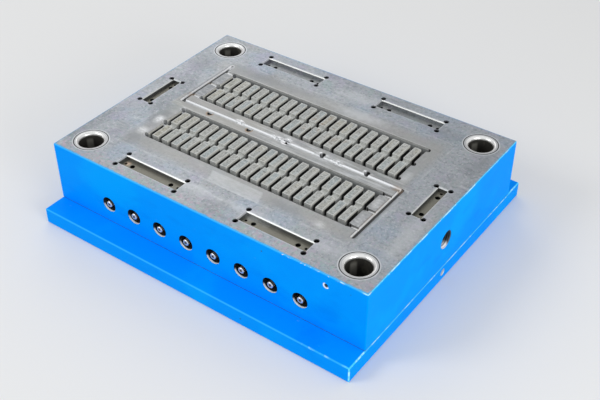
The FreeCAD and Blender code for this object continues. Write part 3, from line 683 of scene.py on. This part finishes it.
# painted shade in the end tabs, with a painted highlight along each gate and painted shadow
# beside it
tab_shade = (abs(x).past(CAVITY_END + 0.0002, 0.0006) * deep.rise(0.0015, 0.0045)
            * abs(x).rise(RUNNER_X - 0.012, RUNNER_X - 0.016))
from_gate = abs(from_centre.from_nearest(GATE_NEAR, GATE_PITCH))
at_gates = (abs(x).past(CAVITY_END + 0.0002, 0.0004)
            * abs(x).rise(RUNNER_X - 0.0035, RUNNER_X - 0.0050) * deep.past(0.0002, 0.0006))
gate_highlight = at_gates * from_gate.rise(0.0024, 0.0014)
gate_shadow = at_gates * from_gate.rise(0.0016, 0.0030)
insert_colour = insert_colour.tint(OIL_AND_SHADE_BLACK, tab_shade * right_half * 0.85)
insert_colour = insert_colour.tint(STEEL_DARK, tab_shade * (1.0 - right_half)
                                   * rough_streaks.rise(0.55, 0.45) * 0.8)
insert_colour = insert_colour.tint(OIL_AND_SHADE_BLACK, gate_shadow * (0.30 + right_half * 0.5))
insert_colour = insert_colour.tint(POLISH_AND_HIGHLIGHT, gate_highlight * (0.90 - right_half * 0.35))

# jacking holes: painted black inside as shade, and rust stains round the two on the left
JACK_REACH = 0.052
JACK_RADIUS = 0.006
jack = places["jacking_holes_rear_right"]
from_jack = distance(abs(abs(x) - jack.x) - JACK_REACH, from_centre - jack.y)
jack_hole_shade = from_jack.past(JACK_RADIUS + 0.0007, -0.0005) * deep.rise(0.0006, 0.0020)
jack_stain = (from_jack.rise(0.0105, JACK_RADIUS + 0.0005) * on_face
              * (x * y).rise(0.0, 0.0002) * x.rise(0.0, -0.02))
insert_colour = insert_colour.tint(OIL_AND_SHADE_BLACK, jack_hole_shade * 0.97)
insert_colour = insert_colour.tint(RUST, jack_stain * 0.6)

# runner: polished, with a painted highlight on the side that the windows light, painted shade
# on the other side of each leg and painted glints, broken up where it has been hammered
HIGHLIGHT_CREAM = (0.90, 0.86, 0.70, 1.0)

# where the lit line is broken: middle, half length, and half of the part that is fully broken
RUNNER_BREAKS = [
    (-0.120, 0.014, 0.010), (-0.022, 0.016, 0.011), (0.002, 0.011, 0.008),
    (0.087, 0.021, 0.018), (0.123, 0.013, 0.009),
]
RUNNER_GLINTS = [
    (-0.272, 0.163, 0.006, 0.007, 0.2, 91.0, 1.0),
    (0.079, 0.012, 0.004, 0.003, 0.3, 92.0, 1.0),
    (0.183, 0.012, 0.004, 0.003, 0.3, 93.0, 1.0),
]
HAMMERED = [
    (-0.120, 0.005, 0.013, 0.007, 0.4, 94.0, 1.0),
    (-0.022, 0.004, 0.016, 0.006, 0.4, 95.0, 1.0),
    (0.002, 0.008, 0.010, 0.009, 0.4, 96.0, 1.0),
    (0.124, 0.003, 0.013, 0.007, 0.4, 97.0, 1.0),
    (0.087, 0.008, 0.017, 0.007, 0.4, 98.0, 0.7),
    (0.190, 0.008, 0.012, 0.007, 0.4, 99.0, 0.7),
]
STRAW_STAINS = [
    (0.262, -0.001, 0.012, 0.010, 0.4, 61.0, 1.0),
    (0.2665, -0.09, 0.003, 0.070, 0.6, 62.0, 0.5),
    (-0.272, 0.028, 0.008, 0.009, 0.4, 63.0, 1.0),
    (-0.272, 0.087, 0.007, 0.005, 0.6, 64.0, 0.6),
]
across_leg = x - x.sign() * RUNNER_X
in_groove = deep.past(0.0002, 0.0004)
in_leg = abs(across_leg).past(RUNNER_HALF + 0.0005, -0.0005) * in_groove
in_middle = (from_centre.past(RUNNER_HALF + 0.0005, -0.0005)
             * abs(x).past(RUNNER_X + RUNNER_HALF, -RUNNER_HALF) * in_groove)
in_runner = in_leg.most(in_middle)
breaks = together([abs(x - middle).rise(half, half_broken)
                   for middle, half, half_broken in RUNNER_BREAKS])
lit_middle = in_middle * y.rise(0.0026, 0.0040) * (1.0 - breaks * 0.65)
lit_leg = in_leg * across_leg.rise(-0.0028, -0.0040)
leg_shade = in_leg * across_leg.rise(-0.0036, -0.0024)
cream_in_highlight = rough_streaks.rise(0.50, 0.62) * (0.25 + right_half * 0.45)
# painted glints at the end of the runner and beside the jacking holes
spots = marks(insert, RUNNER_GLINTS)
hammered = marks(insert, HAMMERED) * from_jack.past(JACK_RADIUS, 0.0010)
insert_colour = insert_colour.tint(STEEL_PALE, in_runner * 0.55)
insert_colour = insert_colour.tint(POLISH_AND_HIGHLIGHT, lit_middle)
insert_colour = insert_colour.tint(POLISH_AND_HIGHLIGHT, lit_leg)
insert_colour = insert_colour.tint(HIGHLIGHT_CREAM, lit_leg * cream_in_highlight)
insert_colour = insert_colour.tint(OIL_AND_SHADE_BLACK, leg_shade * 0.92)
insert_colour = insert_colour.tint(POLISH_AND_HIGHLIGHT, spots * 0.9)
insert_colour = insert_colour.tint(POLISH_AND_HIGHLIGHT, hammered * rough_streaks.rise(0.47, 0.55) * 0.9)
insert_colour = insert_colour.tint(STEEL_DARK, hammered * rough_streaks.rise(0.46, 0.36) * 0.9)
insert_colour = insert_colour.tint(RUST, marks(insert, STRAW_STAINS) * 0.45)

lit_runner = lit_middle.most(lit_leg).most(gate_highlight).most(spots)
insert_relief = (insert_height + eroded_grain * in_cores * 1.5 + eroded_cloud * 0.5
                 + stoned_lines * stoned * 0.8)
insert.put("Base Color", insert_colour)
insert.put("Metallic", 0.80 - in_cores * 0.25 - wall * 0.40 * (1.0 - in_cores)
           - lit_runner * 0.60 - polish_and_glint * 0.20 - lit_upper_wall * 0.35)
insert.put("Roughness", insert_rough + in_cores * 0.12 - polish_and_glint * 0.06)
insert.relief(insert_relief * (1.0 - in_runner * 0.8), 0.12)
give("cavity_insert", insert.material)


# ---- Guide bushes ----
# Four hardened sleeves, turned and bored, pressed in from below. Their mouths are polished
# by the guide pins and carry a painted highlight on one side; the bores are painted dark as
# shade further down, with brown clouds of old grease.

BUSH_BORE = 0.025
BUSH_GREY = (0.66, 0.65, 0.64, 1.0)
BUSH_HIGHLIGHT = (0.97, 0.97, 0.95, 1.0)
RING_GREY = (0.45, 0.46, 0.47, 1.0)
BORE_SHADE_DARK = (0.028, 0.026, 0.021, 1.0)
GREASE_BROWN = (0.16, 0.15, 0.12, 1.0)
STREAK_GREY = (0.36, 0.35, 0.31, 1.0)
TURNING_PITCH = 0.0024166

bush = Finish("polished_bush_steel", STEEL_PALE, 0.2, 1.0)
away_x = bush.x - bush.x.sign() * BUSH_X
away_y = bush.y - bush.y.sign() * BUSH_Y
radius = distance(away_x, away_y)
down = FACE - bush.z
turning = bush.noise(90.0, 3.0, 0.6, 2.0)
grease_cloud = bush.noise((40.0, 40.0, 22.0), 3.0, 0.6, 5.0)
highlight_side = ((away_y * 0.81 - away_x * 0.59) / radius).rise(-0.1, 0.85)
outer_ring = radius.past(BUSH_OUTSIDE - 0.0054, 0.0012)
joint = radius.past(BUSH_OUTSIDE - 0.0015, 0.0004)
bore_shade_and_grease = down.rise(0.0045, 0.0075) * radius.past(BUSH_BORE + 0.0030, -0.0018)
wiped_streak = (((away_y * 0.57 - away_x * 0.82) / radius).rise(0.94, 0.99)
                * down.rise(0.010, 0.020) * down.rise(0.060, 0.035))
bush_colour = bush.colour(BUSH_GREY)
bush_colour = bush_colour.tint(BUSH_HIGHLIGHT, highlight_side)
bush_colour = bush_colour.tint(STEEL, turning.rise(0.50, 0.75) * 0.25)
bush_colour = bush_colour.tint(RING_GREY, outer_ring * 0.85)
bush_colour = bush_colour.tint(OIL_AND_SHADE_BLACK, joint * 0.95)
bush_colour = bush_colour.tint(BORE_SHADE_DARK, bore_shade_and_grease * 0.98)
bush_colour = bush_colour.tint(GREASE_BROWN, bore_shade_and_grease * grease_cloud.rise(0.50, 0.70) * 0.6)
bush_colour = bush_colour.tint(STREAK_GREY, bore_shade_and_grease * wiped_streak * 0.8)
bush.put("Base Color", bush_colour)
bush.put("Metallic", 0.75 - bore_shade_and_grease * 0.35)
bush.put("Roughness", 0.24 + turning * 0.12 + outer_ring * 0.12 + bore_shade_and_grease * 0.25)
bush.relief(radius.wave(TURNING_PITCH) * 0.2 + turning * 0.5, 0.03)
for corner in ("front_left", "front_right", "rear_left", "rear_right"):
    give("guide_bush_" + corner, bush.material)


# ---- Sprue bush, locating ring and fasteners ----
# The nozzle seat and the ring that centres the mould on the press are turned tool steel.
# The socket screws and dowels under the plates are black or ground stock parts.

SPRUE_MOUTH = 0.004
SPRUE_GREY = (0.60, 0.60, 0.61, 1.0)
TURNED_GREY = (0.46, 0.46, 0.475, 1.0)
OXIDE_BLACK = (0.045, 0.045, 0.05, 1.0)
OXIDE_BROWN = (0.09, 0.07, 0.05, 1.0)
DOWEL_GREY = (0.62, 0.62, 0.63, 1.0)


def plain_steel(name, colour, dark, roughness, metallic, black_shade=None):
    """Turned or ground steel with dark stains; the last argument gives a place painted black as
    shade.
    """
    finish = Finish(name, colour, roughness, metallic)
    cloud = finish.noise(60.0, 4.0, 0.6, 3.0)
    turned = finish.noise(900.0, 3.0, 0.7, 6.0)
    shade = finish.colour(colour).tint(dark, cloud.rise(0.42, 0.70) * 0.7)
    if black_shade:
        shade = shade.tint(OIL_AND_SHADE_BLACK, black_shade(finish))
    finish.put("Base Color", shade)
    finish.put("Roughness", roughness + cloud * 0.2 + turned * 0.08)
    finish.relief(cloud + turned * 0.4, 0.05)
    return finish.material


def sprue_hole_shade(finish):
    """The upper part of the tapered hole, painted black as shade."""
    upper = finish.z.rise(FACE - 0.090, FACE - 0.050)
    return distance(finish.x, finish.y).past(SPRUE_MOUTH + 0.0002, -0.00018) * upper


give("sprue_bush", plain_steel("sprue_bush_steel", SPRUE_GREY, STEEL_DARK, 0.22, 0.95,
                               sprue_hole_shade))
give("locating_ring", plain_steel("turned_ring_steel", TURNED_GREY, STEEL_DARK, 0.28, 0.95))
give("plate_dowels", plain_steel("ground_dowel_steel", DOWEL_GREY, STEEL, 0.2, 1.0))
black_oxide = plain_steel("black_oxide", OXIDE_BLACK, OXIDE_BROWN, 0.38, 0.7)
for node in ("locating_ring_screws", "clamp_plate_screws", "insert_screws"):
    give(node, black_oxide)


# ---- Water nipples, seals and plugs ----
# Brass hose nipples screwed into the sunk ports with a spanner; rubber rings seal the
# risers into the insert, and taper plugs close the ends of the drillings.

PORT_COUNT = 8
BRASS = (0.66, 0.56, 0.40, 1.0)
TARNISH_BROWN = (0.20, 0.15, 0.09, 1.0)
NIPPLE_END_GREY = (0.86, 0.86, 0.84, 1.0)
RUBBER_BLACK = (0.018, 0.018, 0.019, 1.0)
RUBBER_BLOOM = (0.06, 0.06, 0.058, 1.0)

brass = Finish("dull_brass", BRASS, 0.3, 0.95)
tarnish = brass.noise(240.0, 4.0, 0.65, 5.0)
scuffed_end = brass.y.past(0.0088 - cover_high.y, -0.0010)
brass_colour = brass.colour(BRASS)
brass_colour = brass_colour.tint(TARNISH_BROWN, tarnish.rise(0.42, 0.68) * 0.6)
brass_colour = brass_colour.tint(NIPPLE_END_GREY, scuffed_end * 0.85)
brass.put("Base Color", brass_colour)
brass.put("Roughness", 0.26 + tarnish * 0.25)
brass.relief(tarnish, 0.05)

rubber = Finish("seal_rubber", RUBBER_BLACK, 0.65, 0.0)
rubber_cloud = rubber.noise(500.0, 3.0, 0.6)
rubber.put("Base Color", rubber.colour(RUBBER_BLACK).tint(RUBBER_BLOOM,
                                                          rubber_cloud.rise(0.4, 0.8)))
rubber.put("Roughness", 0.55 + rubber_cloud * 0.25)
rubber.relief(rubber_cloud, 0.03)

for number in range(1, PORT_COUNT + 1):
    give(f"water_nipple_{number}", brass.material)
    give(f"riser_seal_{number}", rubber.material)
give("water_plugs", brass.material)
give("stop_plugs", brass.material)


# ---- Floor, light and camera ----
# A plain pale floor just under the plate, a soft room and three large soft lamps that
# stand in for the windows of the workshop.

FLOOR_PALE = (0.80, 0.80, 0.79, 1.0)
ROOM_WHITE = (0.97, 0.98, 1.0, 1.0)
FLOOR_GAP = 0.0005
WINDOWS = [
    ("window_right", (2.8, -1.0, 1.0), 1.8, 36.0),
    ("window_front", (-1.7, -2.3, 2.3), 1.4, 31.0),
    ("window_rear", (-1.8, 1.75, 2.05), 1.6, 9.0),
]

bpy.ops.object.select_all(action="DESELECT")
bpy.ops.mesh.primitive_plane_add(size=40.0, location=(0, 0, -FLOOR_GAP))
floor = bpy.context.object
floor.name = "floor"
floor_finish = Finish("pale_floor", FLOOR_PALE, 0.9, 0.0)
floor_finish.put("Specular IOR Level", 0.1)
floor.data.materials.append(floor_finish.material)

world = bpy.data.worlds.new("soft_room")
world.use_nodes = True
room = world.node_tree.nodes["Background"]
room.inputs["Color"].default_value = ROOM_WHITE
room.inputs["Strength"].default_value = 0.70
bpy.context.scene.world = world

for name, spot, size, watts in WINDOWS:
    lamp_data = bpy.data.lights.new(name, "AREA")
    lamp_data.shape = "DISK"
    lamp_data.size = size
    lamp_data.energy = watts
    lamp = bpy.data.objects.new(name, lamp_data)
    lamp.location = spot
    aim = Vector((0, 0, 0.1)) - Vector(spot)
    lamp.rotation_euler = aim.to_track_quat("-Z", "Y").to_euler()
    bpy.context.scene.collection.objects.link(lamp)

camera_data = bpy.data.cameras.new("camera")
camera_data.lens = 59.6
camera_data.sensor_width = 36.0
camera = bpy.data.objects.new("camera", camera_data)
camera.location = (0.9845, -1.3066, 1.3112)
look = Vector((-0.4614, 0.6356, -0.6190)).to_track_quat("-Z", "Y")
camera.rotation_euler = look.to_euler()
camera.rotation_euler.rotate_axis("Z", math.radians(-0.14))
bpy.context.scene.collection.objects.link(camera)
bpy.context.scene.camera = camera
bpy.context.scene.view_settings.view_transform = "Standard"
